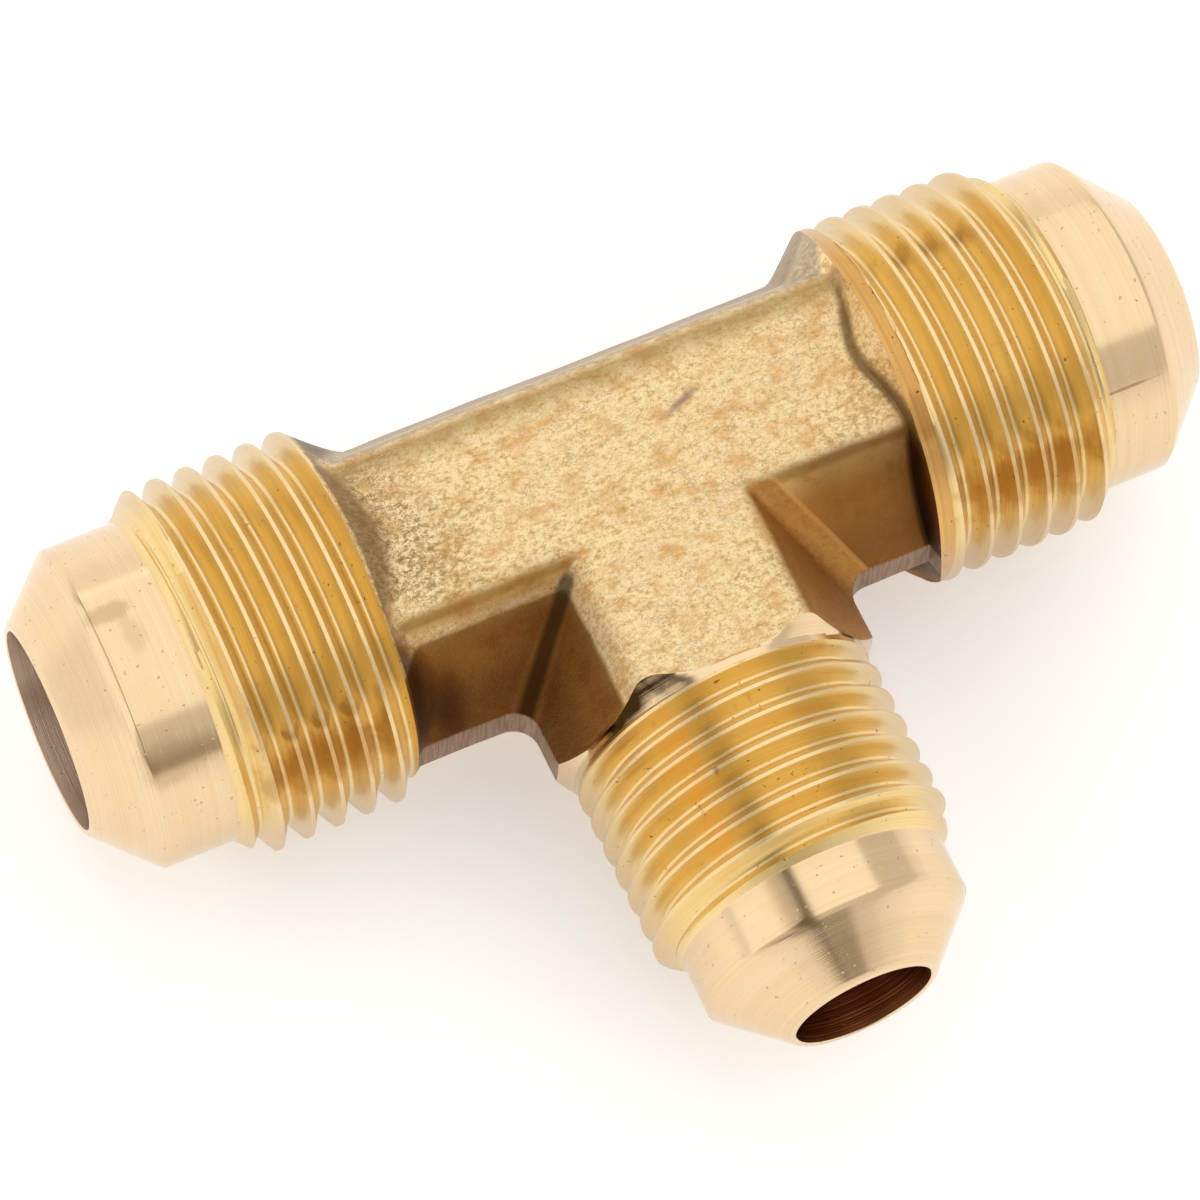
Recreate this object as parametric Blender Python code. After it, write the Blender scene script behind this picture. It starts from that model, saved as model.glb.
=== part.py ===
"""Forged brass reducing tee for 45-degree flare tube nuts.

One piece of brass: a forging with a flat top and bottom and drafted sides, whose three ends are turned,
threaded and drilled. The run lies along X and the branch points along -Y. Lengths are in metres.
"""

import math

import bmesh
import bpy

MM = 0.001
INCH = 25.4 * MM

# Run ends: 3/4-16 flare thread, for 1/2 inch tube
RUN_MAJOR_RADIUS = 0.750 * INCH / 2
RUN_PITCH = INCH / 16
RUN_BORE_RADIUS = 13 / 32 * INCH / 2
RUN_CENTRE_TO_END = 30.15 * MM
RUN_NOSE_LENGTH = 3.9 * MM

# Branch end: 5/8-18 flare thread, for 3/8 inch tube
BRANCH_MAJOR_RADIUS = 0.625 * INCH / 2
BRANCH_PITCH = INCH / 18
BRANCH_BORE_RADIUS = 9 / 32 * INCH / 2
BRANCH_CENTRE_TO_END = 28.55 * MM
BRANCH_NOSE_LENGTH = 2.3 * MM

# Form shared by the three ends
THREAD_DEPTH_PER_PITCH = 0.6134
CREST_PER_PITCH = 1 / 8
ROOT_PER_PITCH = 1 / 6
NOSE_BELOW_ROOT = 0.3 * MM
END_FACE_WIDTH = 0.3 * MM
COLLAR_BELOW_CREST = 0.08 * MM

# Forged body, drafted both ways from the parting plane
FLAT_HEIGHT = 7.65 * MM
FLAT_HALF_WIDTH = 4.42 * MM
PARTING_HALF_WIDTH = 8.45 * MM
FLASH_HALF_HEIGHT = 1.3 * MM
EDGE_RADIUS = 1.4 * MM
CORNER_RADIUS_AT_FLAT = 0.3 * MM
CORNER_RADIUS_AT_FLASH = 1.3 * MM

# Collars where the forging swells up to the run threads: the left one is threaded up to its edge
LEFT_SHOULDER = 14.3 * MM
LEFT_PLAIN_BAND = 0.3 * MM
RIGHT_SHOULDER = 13.1 * MM
RIGHT_PLAIN_BAND = 1.0 * MM
FLARE_LENGTH = 1.4 * MM
FLARE_START_BELOW_FLAT = 0.2 * MM

# Turned shoulder behind the branch thread
BRANCH_SHOULDER = 12.1 * MM
BRANCH_PLAIN_BAND = 0.4 * MM
SHOULDER_SLOPE = 0.55

# How finely round shapes are divided, and how far hidden shapes run into their neighbours
SEGMENTS = 32
CORNER_STEPS = 4
EDGE_STEPS = 3
OVERLAP = 1.0 * MM

BRASS = (0.80, 0.60, 0.30, 1.0)


def clear_scene():
    for obj in list(bpy.data.objects):
        bpy.data.objects.remove(obj, do_unlink=True)


def brass_material():
    material = bpy.data.materials.new("forged_brass")
    material.use_nodes = True
    shader = material.node_tree.nodes["Principled BSDF"]
    shader.inputs["Base Color"].default_value = BRASS
    shader.inputs["Metallic"].default_value = 1.0
    shader.inputs["Roughness"].default_value = 0.35
    return material


def add_object(name, bm):
    """Makes an object of the bmesh, with its faces pointing out."""
    bmesh.ops.remove_doubles(bm, verts=bm.verts, dist=1e-7)
    bmesh.ops.recalc_face_normals(bm, faces=bm.faces)
    mesh = bpy.data.meshes.new(name)
    bm.to_mesh(mesh)
    bm.free()
    obj = bpy.data.objects.new(name, mesh)
    bpy.context.scene.collection.objects.link(obj)
    return obj


def round_shape(name, rows):
    """A closed shape about +X. Each row gives (distance along the axis, radius) for a share of a turn."""
    bm = bmesh.new()
    grid = []
    for row in rows:
        ring = []
        for step in range(SEGMENTS + 1):
            share = step / SEGMENTS
            along, radius = row(share)
            angle = math.tau * share
            ring.append(bm.verts.new((along, radius * math.cos(angle), radius * math.sin(angle))))
        grid.append(ring)
    for lower, upper in zip(grid, grid[1:]):
        for i in range(SEGMENTS):
            bm.faces.new((lower[i], lower[i + 1], upper[i + 1], upper[i]))
    return add_object(name, bm)


def turned_rows(profile):
    """One row for each (distance along the axis, radius) point of a turned profile."""
    return [lambda share, point=point: point for point in profile]


def turned(name, profile):
    """A solid turned from its profile, closed on the axis at both ends."""
    return round_shape(name, turned_rows([(profile[0][0], 0.0), *profile, (profile[-1][0], 0.0)]))


def thread_rows(major_radius, pitch, start, stop, nose):
    """Rows that follow a right-hand 60-degree thread, square at its start and chamfered to the nose."""
    depth = THREAD_DEPTH_PER_PITCH * pitch
    half_root = ROOT_PER_PITCH * pitch / 2
    flank = (pitch - CREST_PER_PITCH * pitch) / 2 - half_root

    def row(turn, knot):
        def point(share):
            helix = share * pitch
            along = min(max(start + (turn - 1) * pitch + knot + helix, start), stop)
            turns_on = (along - start - helix) / pitch
            from_groove = abs(turns_on - round(turns_on)) * pitch
            rise = min(max((from_groove - half_root) / flank, 0.0), 1.0)
            return along, min(major_radius - depth + rise * depth, nose + stop - along)

        return point

    knots = (half_root, half_root + flank, pitch - half_root - flank, pitch - half_root)
    turns = math.ceil((stop - start) / pitch) + 1
    return [row(turn, knot) for turn in range(-1, turns + 1) for knot in knots]


def nose_radius(major_radius, pitch):
    return major_radius - THREAD_DEPTH_PER_PITCH * pitch - NOSE_BELOW_ROOT


def flare_end(name, major_radius, pitch, bore_radius, centre_to_end, nose_length, collar):
    """A turned end along +X: its collar, the thread, a plain nose and a 45-degree seat."""
    nose = nose_radius(major_radius, pitch)
    mouth = bore_radius + END_FACE_WIDTH
    seat_start = centre_to_end - (nose - mouth)
    nose_start = seat_start - nose_length
    thread_start = collar[-1][0]
    rows = turned_rows([(collar[0][0], 0.0), *collar])
    rows += thread_rows(major_radius, pitch, thread_start, nose_start, nose)
    seat = [(seat_start, nose), (centre_to_end, mouth), (centre_to_end, 0.0)]
    rows += turned_rows([(nose_start, nose), *seat])
    return round_shape(name, rows)


def run_collar(shoulder, plain_band):
    """The swelling of the forging behind a run thread, and the plain turned band up to the thread."""
    flare = shoulder - FLARE_LENGTH
    base = FLAT_HEIGHT - FLARE_START_BELOW_FLAT
    radius = RUN_MAJOR_RADIUS - COLLAR_BELOW_CREST
    hidden = (flare - OVERLAP, base - OVERLAP)
    return [hidden, (flare, base), (shoulder, radius), (shoulder + plain_band, radius)]


def branch_collar():
    """The plain turned band between the shoulder and the branch thread."""
    radius = BRANCH_MAJOR_RADIUS - COLLAR_BELOW_CREST
    inside = BRANCH_SHOULDER - OVERLAP
    return [
        (inside, radius - OVERLAP),
        (BRANCH_SHOULDER - OVERLAP / 4, radius),
        (BRANCH_SHOULDER + BRANCH_PLAIN_BAND, radius),
    ]


def rounded_section():
    """(height, half width) down one side of the body's section, from the flat to the flash."""
    down = math.atan2(FLAT_HEIGHT - FLASH_HALF_HEIGHT, PARTING_HALF_WIDTH - FLAT_HALF_WIDTH)
    centre_height = FLAT_HEIGHT - EDGE_RADIUS
    centre_width = FLAT_HALF_WIDTH - EDGE_RADIUS * math.tan(down / 2)
    section = []
    for step in range(EDGE_STEPS + 1):
        angle = down * step / EDGE_STEPS
        height = centre_height + EDGE_RADIUS * math.cos(angle)
        section.append((height, centre_width + EDGE_RADIUS * math.sin(angle)))
    section.append((FLASH_HALF_HEIGHT, PARTING_HALF_WIDTH))
    return section


def tee_outline(half_width, corner_radius):
    """The body's outline seen from above, anticlockwise, with its two inner corners rounded."""
    right_end = RIGHT_SHOULDER + RIGHT_PLAIN_BAND / 2
    left_end = LEFT_SHOULDER + LEFT_PLAIN_BAND / 2
    branch_end = BRANCH_SHOULDER + BRANCH_PLAIN_BAND / 2
    outline = [(right_end, half_width), (-left_end, half_width), (-left_end, -half_width)]
    centre = half_width + corner_radius
    corner = []
    for step in range(CORNER_STEPS + 1):
        angle = math.pi / 2 * (1 - step / CORNER_STEPS)
        x = corner_radius * math.cos(angle) - centre
        y = corner_radius * math.sin(angle) - centre
        corner.append((x, y))
    outline += corner
    outline += [(-half_width, -branch_end), (half_width, -branch_end)]
    outline += [(-x, y) for x, y in reversed(corner)]
    outline.append((right_end, -half_width))
    return outline


def forging():
    """The forged middle: one outline for each height, joined from the top flat to the bottom flat."""
    upper = rounded_section()
    section = upper + [(-height, half_width) for height, half_width in reversed(upper)]
    bm = bmesh.new()
    loops = []
    for height, half_width in section:
        share = (FLAT_HEIGHT - abs(height)) / (FLAT_HEIGHT - FLASH_HALF_HEIGHT)
        radius = CORNER_RADIUS_AT_FLAT + share * (CORNER_RADIUS_AT_FLASH - CORNER_RADIUS_AT_FLAT)
        loops.append([bm.verts.new((x, y, height)) for x, y in tee_outline(half_width, radius)])
    for above, below in zip(loops, loops[1:]):
        for i, corner in enumerate(above):
            j = (i + 1) % len(above)
            bm.faces.new((corner, below[i], below[j], above[j]))
    bm.faces.new(loops[0])
    bm.faces.new(loops[-1][::-1])
    return add_object("tee_body", bm)


def shoulder_cutter():
    """A ring that faces the forging's corners to a cone, which ends inside the branch's plain band."""
    radius = BRANCH_MAJOR_RADIUS - COLLAR_BELOW_CREST
    inner = radius - OVERLAP / 10
    outer = PARTING_HALF_WIDTH + FLASH_HALF_HEIGHT + OVERLAP
    back = BRANCH_SHOULDER - SHOULDER_SLOPE * (outer - radius)
    foot = BRANCH_SHOULDER + SHOULDER_SLOPE * (radius - inner)
    front = BRANCH_SHOULDER + OVERLAP
    section = [(back, outer), (foot, inner), (front, inner), (front, outer), (back, outer)]
    return round_shape("shoulder_cutter", turned_rows(section))


def drill(name, bore_radius, start, stop):
    return turned(name, [(start, bore_radius), (stop, bore_radius)])


def combine(obj, other, operation):
    """Joins a helper shape to the object, or cuts it away."""
    other.hide_render = True
    other.display_type = "WIRE"
    modifier = obj.modifiers.new(other.name, "BOOLEAN")
    modifier.operation = operation
    modifier.solver = "EXACT"
    modifier.object = other


def main():
    clear_scene()
    crossing = bpy.data.objects.new("bore_crossing", None)
    bpy.context.scene.collection.objects.link(crossing)
    crossing.location = (0.0, (BRANCH_CENTRE_TO_END - RUN_MAJOR_RADIUS) / 2, RUN_MAJOR_RADIUS)

    run = (RUN_MAJOR_RADIUS, RUN_PITCH, RUN_BORE_RADIUS, RUN_CENTRE_TO_END, RUN_NOSE_LENGTH)
    branch = (BRANCH_MAJOR_RADIUS, BRANCH_PITCH, BRANCH_BORE_RADIUS, BRANCH_CENTRE_TO_END, BRANCH_NOSE_LENGTH)
    right_collar = run_collar(RIGHT_SHOULDER, RIGHT_PLAIN_BAND)
    left_collar = run_collar(LEFT_SHOULDER, LEFT_PLAIN_BAND)
    run_through = RUN_CENTRE_TO_END + OVERLAP
    branch_through = BRANCH_CENTRE_TO_END + OVERLAP

    body = forging()
    body.data.materials.append(brass_material())
    to_right, to_left, to_branch = 0.0, math.pi, -math.pi / 2
    steps = (
        ("DIFFERENCE", to_branch, shoulder_cutter()),
        ("UNION", to_right, flare_end("right_end", *run, right_collar)),
        ("UNION", to_left, flare_end("left_end", *run, left_collar)),
        ("UNION", to_branch, flare_end("branch_end", *branch, branch_collar())),
        ("DIFFERENCE", to_right, drill("run_drill", RUN_BORE_RADIUS, -run_through, run_through)),
        ("DIFFERENCE", to_branch, drill("branch_drill", BRANCH_BORE_RADIUS, 0.0, branch_through)),
    )
    for operation, direction, shape in steps:
        combine(body, shape, operation)
        shape.rotation_euler.z = direction
        shape.parent = crossing
    body.parent = crossing
    body.data.shade_smooth()
    body.data.set_sharp_from_angle(angle=math.radians(30))


main()
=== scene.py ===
import math

import bmesh
import bpy
import numpy as np
from mathutils import Matrix, Vector


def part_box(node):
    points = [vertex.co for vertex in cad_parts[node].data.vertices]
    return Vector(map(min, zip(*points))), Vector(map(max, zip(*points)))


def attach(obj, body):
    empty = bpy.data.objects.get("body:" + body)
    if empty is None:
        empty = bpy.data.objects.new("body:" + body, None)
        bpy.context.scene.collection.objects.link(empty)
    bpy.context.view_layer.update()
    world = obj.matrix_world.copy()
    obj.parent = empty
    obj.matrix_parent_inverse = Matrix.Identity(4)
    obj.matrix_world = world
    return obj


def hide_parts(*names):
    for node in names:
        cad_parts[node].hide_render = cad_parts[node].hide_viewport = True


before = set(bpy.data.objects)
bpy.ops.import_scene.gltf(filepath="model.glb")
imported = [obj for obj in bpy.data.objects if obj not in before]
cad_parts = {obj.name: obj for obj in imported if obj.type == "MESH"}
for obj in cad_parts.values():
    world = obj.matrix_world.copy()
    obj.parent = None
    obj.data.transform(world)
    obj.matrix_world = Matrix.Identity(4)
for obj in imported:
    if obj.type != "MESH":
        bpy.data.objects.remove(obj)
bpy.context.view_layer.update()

# Forged brass tee
# One hot brass forging, squeezed between two dies that part level with the bores.
# All three arms share a six-sided section with flat crowns, sloping sides and a trimmed flash.
MM = 0.001
low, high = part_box("tee_body")
RUN_RADIUS = (high.z - low.z) / 2
CROSSING = np.array([(low.x + high.x) / 2, high.y - RUN_RADIUS, (low.z + high.z) / 2])
RUN_REACH = (high.x - low.x) / 2
RIGHT_REACH = RUN_REACH - 0.35 * MM
BRANCH_REACH = CROSSING[1] - low.y
FLAT_HEIGHT = 7.65 * MM
FLAT_HALF_WIDTH = 4.42 * MM
PARTING_HALF_WIDTH = 8.45 * MM
BACK_HALF_WIDTH = 7.65 * MM
FLASH_HALF_HEIGHT = 1.05 * MM
EDGE_RADIUS = 1.4 * MM
VALLEY_RADIUS_AT_FLAT = 0.3 * MM
VALLEY_RADIUS_AT_FLASH = 1.4 * MM
SEAM_STEP = 1.0 * MM
SEAM_TURN, OPEN_TURN = 135, 90
VALLEY_SHADE = 0.55 * MM
SHADE_ONSET = 6
COLUMNS = 208
VALLEY_ROWS = 5
ARM_ROWS = 26
FLARE_ROWS = 9
SHOULDER_ROWS = 3
WAVE_SEED, WAVE_COUNT = 7, 24
WAVE_HEIGHT = 0.008 * MM
WAVE_LENGTHS = (2.2 * MM, 9 * MM)
TINY = 1e-9
UP = np.array([0.0, 0.0, 1.0])

# An arm is the way it points and the side its angles start from. They run from that side up to the crown.
RIGHT_ARM = (np.array([1.0, 0, 0]), np.array([0, -1.0, 0]))
LEFT_ARM = (np.array([-1.0, 0, 0]), np.array([0, -1.0, 0]))
BRANCH_ARM = (np.array([0, -1.0, 0]), np.array([1.0, 0, 0]))


def column_angles():
    """Even angles round the bore, with the nearest four moved on to the flash's edges."""
    angles = np.arange(COLUMNS) * 2 * np.pi / COLUMNS
    flash = math.atan2(FLASH_HALF_HEIGHT, PARTING_HALF_WIDTH)
    for edge in (flash, np.pi - flash, np.pi + flash, 2 * np.pi - flash):
        angles[np.argmin(abs(angles - edge))] = edge
    return angles


ANGLES = column_angles()


def half_section(angles, half_width):
    """Distance from the bore's line to the forging: the nearest of crown, slope and flash, or the round
    edge between crown and slope."""
    slope = np.array([half_width - FLAT_HALF_WIDTH, FLASH_HALF_HEIGHT - FLAT_HEIGHT])
    facing = np.array([-slope[1], slope[0]]) / np.linalg.norm(slope)
    slope_reach = facing @ np.array([half_width, FLASH_HALF_HEIGHT])
    edge_z = FLAT_HEIGHT - EDGE_RADIUS
    edge_w = (slope_reach - EDGE_RADIUS - facing[1] * edge_z) / facing[0]
    across, rise = abs(np.cos(angles)), abs(np.sin(angles))
    crown = FLAT_HEIGHT / np.maximum(rise, TINY)
    side = slope_reach / (across * facing[0] + rise * facing[1])
    flash = half_width / np.maximum(across, TINY)
    along = across * edge_w + rise * edge_z
    edge = along + np.sqrt(np.maximum(along**2 - edge_w**2 - edge_z**2 + EDGE_RADIUS**2, 0))
    turn = np.arctan2(rise, across)
    edge_start = math.atan2(edge_z + EDGE_RADIUS * facing[1], edge_w + EDGE_RADIUS * facing[0])
    edge_stop = math.atan2(FLAT_HEIGHT, edge_w)
    plain = np.minimum(np.minimum(crown, side), flash)
    return np.where((turn > edge_start) & (turn < edge_stop), edge, plain)


def section_radius(arm):
    """The section all round an arm. The run's back is trimmed closer than its front and than the branch."""
    front = half_section(ANGLES, PARTING_HALF_WIDTH)
    back = front if arm is BRANCH_ARM else half_section(ANGLES, BACK_HALF_WIDTH)
    return np.where(np.cos(ANGLES) < 0, back, front)


def place(arm, along, across, rise):
    """Points of an arm from their distance along it, across it and above its middle."""
    out, side = arm
    return CROSSING + along[..., None] * out + across[..., None] * side + rise[..., None] * UP


def arm_rows(arm, stops):
    """Rows of a bare arm, and the painted shade they take near the valleys. Each column starts on the
    seam with its neighbour, follows a round valley away from it, whose radius grows from crown to flash,
    and then runs straight to its own stop."""
    radius = section_radius(arm)
    across, rise = radius * np.cos(ANGLES), radius * np.sin(ANGLES)
    width = abs(across)
    depth = np.clip((FLAT_HEIGHT - abs(rise)) / (FLAT_HEIGHT - FLASH_HALF_HEIGHT), 0, 1)
    fade = np.clip(width / (FLAT_HALF_WIDTH - EDGE_RADIUS / 2), 0, 1)
    valley = (VALLEY_RADIUS_AT_FLAT + (VALLEY_RADIUS_AT_FLASH - VALLEY_RADIUS_AT_FLAT) * depth) * fade
    has_valley = (across > 0) | (arm is BRANCH_ARM)
    turn = np.radians(np.linspace(SEAM_TURN, OPEN_TURN, VALLEY_ROWS + 1))[:, None]
    share = np.linspace(0, 1, VALLEY_ROWS + 1)[:, None]
    along = np.where(has_valley, width + valley + valley * np.cos(turn), share * SEAM_STEP * fade)
    spread = np.where(has_valley, width + valley - valley * np.sin(turn), width)
    share = np.linspace(0, 1, ARM_ROWS + 1)[1:, None]
    straight = along[-1] + (stops - along[-1]) * share
    along = np.vstack([along, straight])
    spread = np.vstack([spread, np.broadcast_to(width, straight.shape)])
    near_seam = np.exp(-(((along - along[0]) / VALLEY_SHADE) ** 2))
    painted_shade = has_valley * np.clip(depth * SHADE_ONSET, 0, 1) * near_seam
    return along, spread * np.where(across < 0, -1, 1), np.broadcast_to(rise, along.shape), painted_shade


def hammered(points):
    """Points moved by a sum of slow waves in every direction, as uneven dies and scale leave a forging."""
    draw = np.random.default_rng(WAVE_SEED)
    ways = draw.normal(size=(WAVE_COUNT, 3))
    ways /= np.linalg.norm(ways, axis=1)[:, None]
    lengths = np.exp(draw.uniform(*np.log(WAVE_LENGTHS), WAVE_COUNT))
    heights = WAVE_HEIGHT * np.sqrt(lengths / WAVE_LENGTHS[1])
    pushes = draw.normal(size=(WAVE_COUNT, 3)) * heights[:, None]
    phases = points @ (ways * (2 * np.pi / lengths)[:, None]).T + draw.uniform(0, 2 * np.pi, WAVE_COUNT)
    return points + np.sin(phases) @ pushes


shells = []


def add_shell(arm, points, material, inward=False, wrap=True, painted_shade=0.0):
    """Keeps a grid of points as one stretch of the skin. Its faces look away from the bore's line, or
    towards it. The painted shade is how much each point is darkened as painted shade, in a corner or by a
    collar."""
    rows, columns = points.shape[:2]
    index = np.arange(rows * columns).reshape(rows, columns)
    beside = np.roll(index, -1, axis=1) if wrap else index[:, 1:]
    index = index if wrap else index[:, :-1]
    quads = np.stack([index[:-1], beside[:-1], beside[1:], index[1:]], axis=-1).reshape(-1, 4)
    faces_out = np.cross(UP, arm[0]) @ arm[1] > 0
    if faces_out == inward:
        quads = quads[:, ::-1]
    painted_shade = np.broadcast_to(painted_shade, points.shape[:2]).ravel()
    shells.append((points.reshape(-1, 3), quads, material, painted_shade))


def screen(red, green, blue):
    """A colour named by its screen values, 0 to 255, as the linear values that shaders use."""
    values = np.array([red, green, blue]) / 255
    linear = np.where(values <= 0.04045, values / 12.92, ((values + 0.055) / 1.055) ** 2.4)
    return (*linear, 1.0)


def node(tree, kind, inputs, output=0, **settings):
    """Adds a node, fills its inputs with values or links, and returns one of its outputs."""
    made = tree.nodes.new(kind)
    for name, value in settings.items():
        setattr(made, name, value)
    for socket, value in inputs.items():
        if isinstance(value, bpy.types.NodeSocket):
            tree.links.new(value, made.inputs[socket])
        else:
            made.inputs[socket].default_value = value
    return made.outputs[output]


def maths(tree, operation, first, second=0.0):
    return node(tree, "ShaderNodeMath", {0: first, 1: second}, operation=operation)


def span(tree, value, start, stop):
    """0 at start and 1 at stop, eased between them."""
    ends = {"Value": value, "From Min": start, "From Max": stop}
    return node(tree, "ShaderNodeMapRange", ends, interpolation_type="SMOOTHSTEP")


def blend(tree, share, first, second):
    return node(tree, "ShaderNodeMix", {0: share, 6: first, 7: second}, output=2, data_type="RGBA")


def times(tree, first, second):
    return maths(tree, "MULTIPLY", first, second)


def tinted(tree, colour, tint, mask, share):
    """The colour, covered by a tint where the mask is 1, up to that share."""
    return blend(tree, times(tree, mask, share), colour, tint)


def grain(tree, coords, sizes, detail=3.0, roughness=0.6, shift=0.0):
    """Noise whose features have the given size, in metres, along each axis."""
    scale = [1 / size for size in sizes]
    inputs = {"Vector": coords, "Location": (shift, shift, shift), "Scale": scale}
    mapped = node(tree, "ShaderNodeMapping", inputs)
    return node(tree, "ShaderNodeTexNoise",
                {"Vector": mapped, "Scale": 1.0, "Detail": detail, "Roughness": roughness}, output="Fac")


def patch(tree, coords, centre, sizes, turn, soft, ragged):
    """1 inside an ellipsoid about a place, in millimetres from the crossing of the bores, falling to 0 at
    its edge. The ellipsoid is turned about the vertical, and a noise makes its edge ragged."""
    middle = Vector(CROSSING + np.array(centre) * MM)
    away = node(tree, "ShaderNodeVectorMath", {0: coords, 1: middle}, operation="SUBTRACT")
    turned = node(tree, "ShaderNodeVectorRotate", {"Vector": away, "Angle": -turn}, rotation_type="Z_AXIS")
    scale = [1 / (size * MM) for size in sizes]
    sized = node(tree, "ShaderNodeVectorMath", {0: turned, 1: scale}, operation="MULTIPLY")
    distance = node(tree, "ShaderNodeVectorMath", {0: sized}, output="Value", operation="LENGTH")
    return span(tree, maths(tree, "ADD", distance, ragged), 1.0, 1.0 - soft)


def new_brass(name):
    """A brass material and the pieces of its node tree that every finish starts from."""
    material = bpy.data.materials.new(name)
    material.use_nodes = True
    tree = material.node_tree
    shader = tree.nodes["Principled BSDF"]
    shader.inputs["Metallic"].default_value = 1.0
    coords = node(tree, "ShaderNodeTexCoord", {}, output="Object")
    return material, tree, shader, coords


def finish(tree, shader, colour, roughness, height, depth):
    """Joins a colour, a roughness and a relief of that depth, in metres, to the shader."""
    tree.links.new(colour, shader.inputs["Base Color"])
    if isinstance(roughness, bpy.types.NodeSocket):
        tree.links.new(roughness, shader.inputs["Roughness"])
    else:
        shader.inputs["Roughness"].default_value = roughness
    bumped = node(tree, "ShaderNodeBump", {"Height": height, "Distance": depth}, output="Normal")
    tree.links.new(bumped, shader.inputs["Normal"])


# Forged skin
# The die leaves a fine grained, scaly skin. Tumbling has brightened its crowns, while the sides
# keep brown oxide. Painted shade darkens the sides towards the flash, the valleys, the right collar's
# foot, the left flare and the run's right side, and a painted highlight lines the front left edge.
CREAM, PALE_GOLD, TAN = screen(255, 232, 186), screen(226, 184, 116), screen(224, 168, 98)
OLIVE, DARK_SPECK, GREY_OLIVE = screen(168, 134, 76), screen(106, 76, 38), screen(136, 112, 76)
EDGE_OLIVE, SIDE_BROWN, SIDE_DARK = screen(184, 148, 90), screen(202, 138, 64), screen(160, 106, 50)
DARK_OLIVE = screen(122, 94, 52)
SIDE_GOLD, SIDE_SHADE = screen(232, 190, 118), screen(124, 82, 38)
VALLEY_DARK, RUST, COPPER = screen(44, 24, 8), screen(170, 98, 42), screen(196, 104, 60)
HOLLOW_GOLD, FAR_SHEEN_GREY, SCRATCHED = screen(198, 144, 74), screen(172, 156, 134), screen(150, 112, 112)
FLASH_LILAC, FLASH_BROWN = screen(164, 136, 114), screen(132, 102, 78)

# The grains' sizes along each axis
FINE_SIZES = (0.1 * MM, 0.09 * MM, 0.1 * MM)
FLAKE_SIZES = (0.42 * MM, 0.3 * MM, 0.4 * MM)
FOLD_SIZES = (0.9 * MM, 0.6 * MM, 0.9 * MM)
BLOTCH_SIZES = (1.7 * MM, 1.3 * MM, 1.5 * MM)
WIDE_SIZES = (6 * MM, 5 * MM, 5 * MM)
SHEAR_SIZES = (0.12 * MM, 0.12 * MM, 2.5 * MM)
FINE_SHARE = 0.35
SKIN_RELIEF = 0.08 * MM

# What a grain reads where its mark starts and where it is full
LIGHT_GRAINS, TAN_BLOTCHES, OLIVE_FLAKES = (0.37, 0.58), (0.46, 0.7), (0.48, 0.28)
FOLD_LINES, FOLD_AREAS = (0.028, 0.004), (0.44, 0.62)
CROWN_SPECKS, SIDE_SPECKS, GREY_GRAINS = (0.35, 0.27), (0.42, 0.32), (0.56, 0.42)
RUST_BLOTCHES, PALE_FLAKES, GOLD_GRAINS = (0.46, 0.64), (0.5, 0.68), (0.3, 0.6)
FAR_FLAKES, SHEAR_LINES = (0.95, 0.3), (0.3, 0.7)

# Where each tone starts and where it is full, in millimetres. Heights are taken above or below the bores.
CROWN_END, GREEN_END, SLOPE_END, FLASH_EDGE = (7.56, 7.2), (7.1, 6.75), (5.7, 5.1), (1.15, 1.05)
BROWN_HEIGHTS, DARK_HEIGHTS, SHADE_HEIGHTS = (6.9, 5.2), (4.6, 2.0), (6.4, 7.4)
BACK_START, BACK_RIM, FAR_HEIGHTS = (3.9, 4.5), (2.3, 4.0), (7.6, 7.1)
LEFT_START, LEFT_FRONT, LEFT_HIGHLIGHT_LIFT = (-3.0, -4.0), (-4.6, -5.4), 1.3
RIGHT_START, RIGHT_FRONT, RIGHT_SHADE = (3.0, 4.0), (-3.9, -4.6), (5.0, 9.0)
VALLEY_LINE, VALLEY_GOLD, LINE_WIDTHS = 1.35, (1.35, 1.2), (0.2, 0.05)
SHADE_DEPTHS = (0.35, 0.95)
EDGE_STRAY, TONE_STRAY, MARK_STRAY, SCRATCH_STRAY = 0.3, 1.4, 0.25, 0.2


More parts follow.
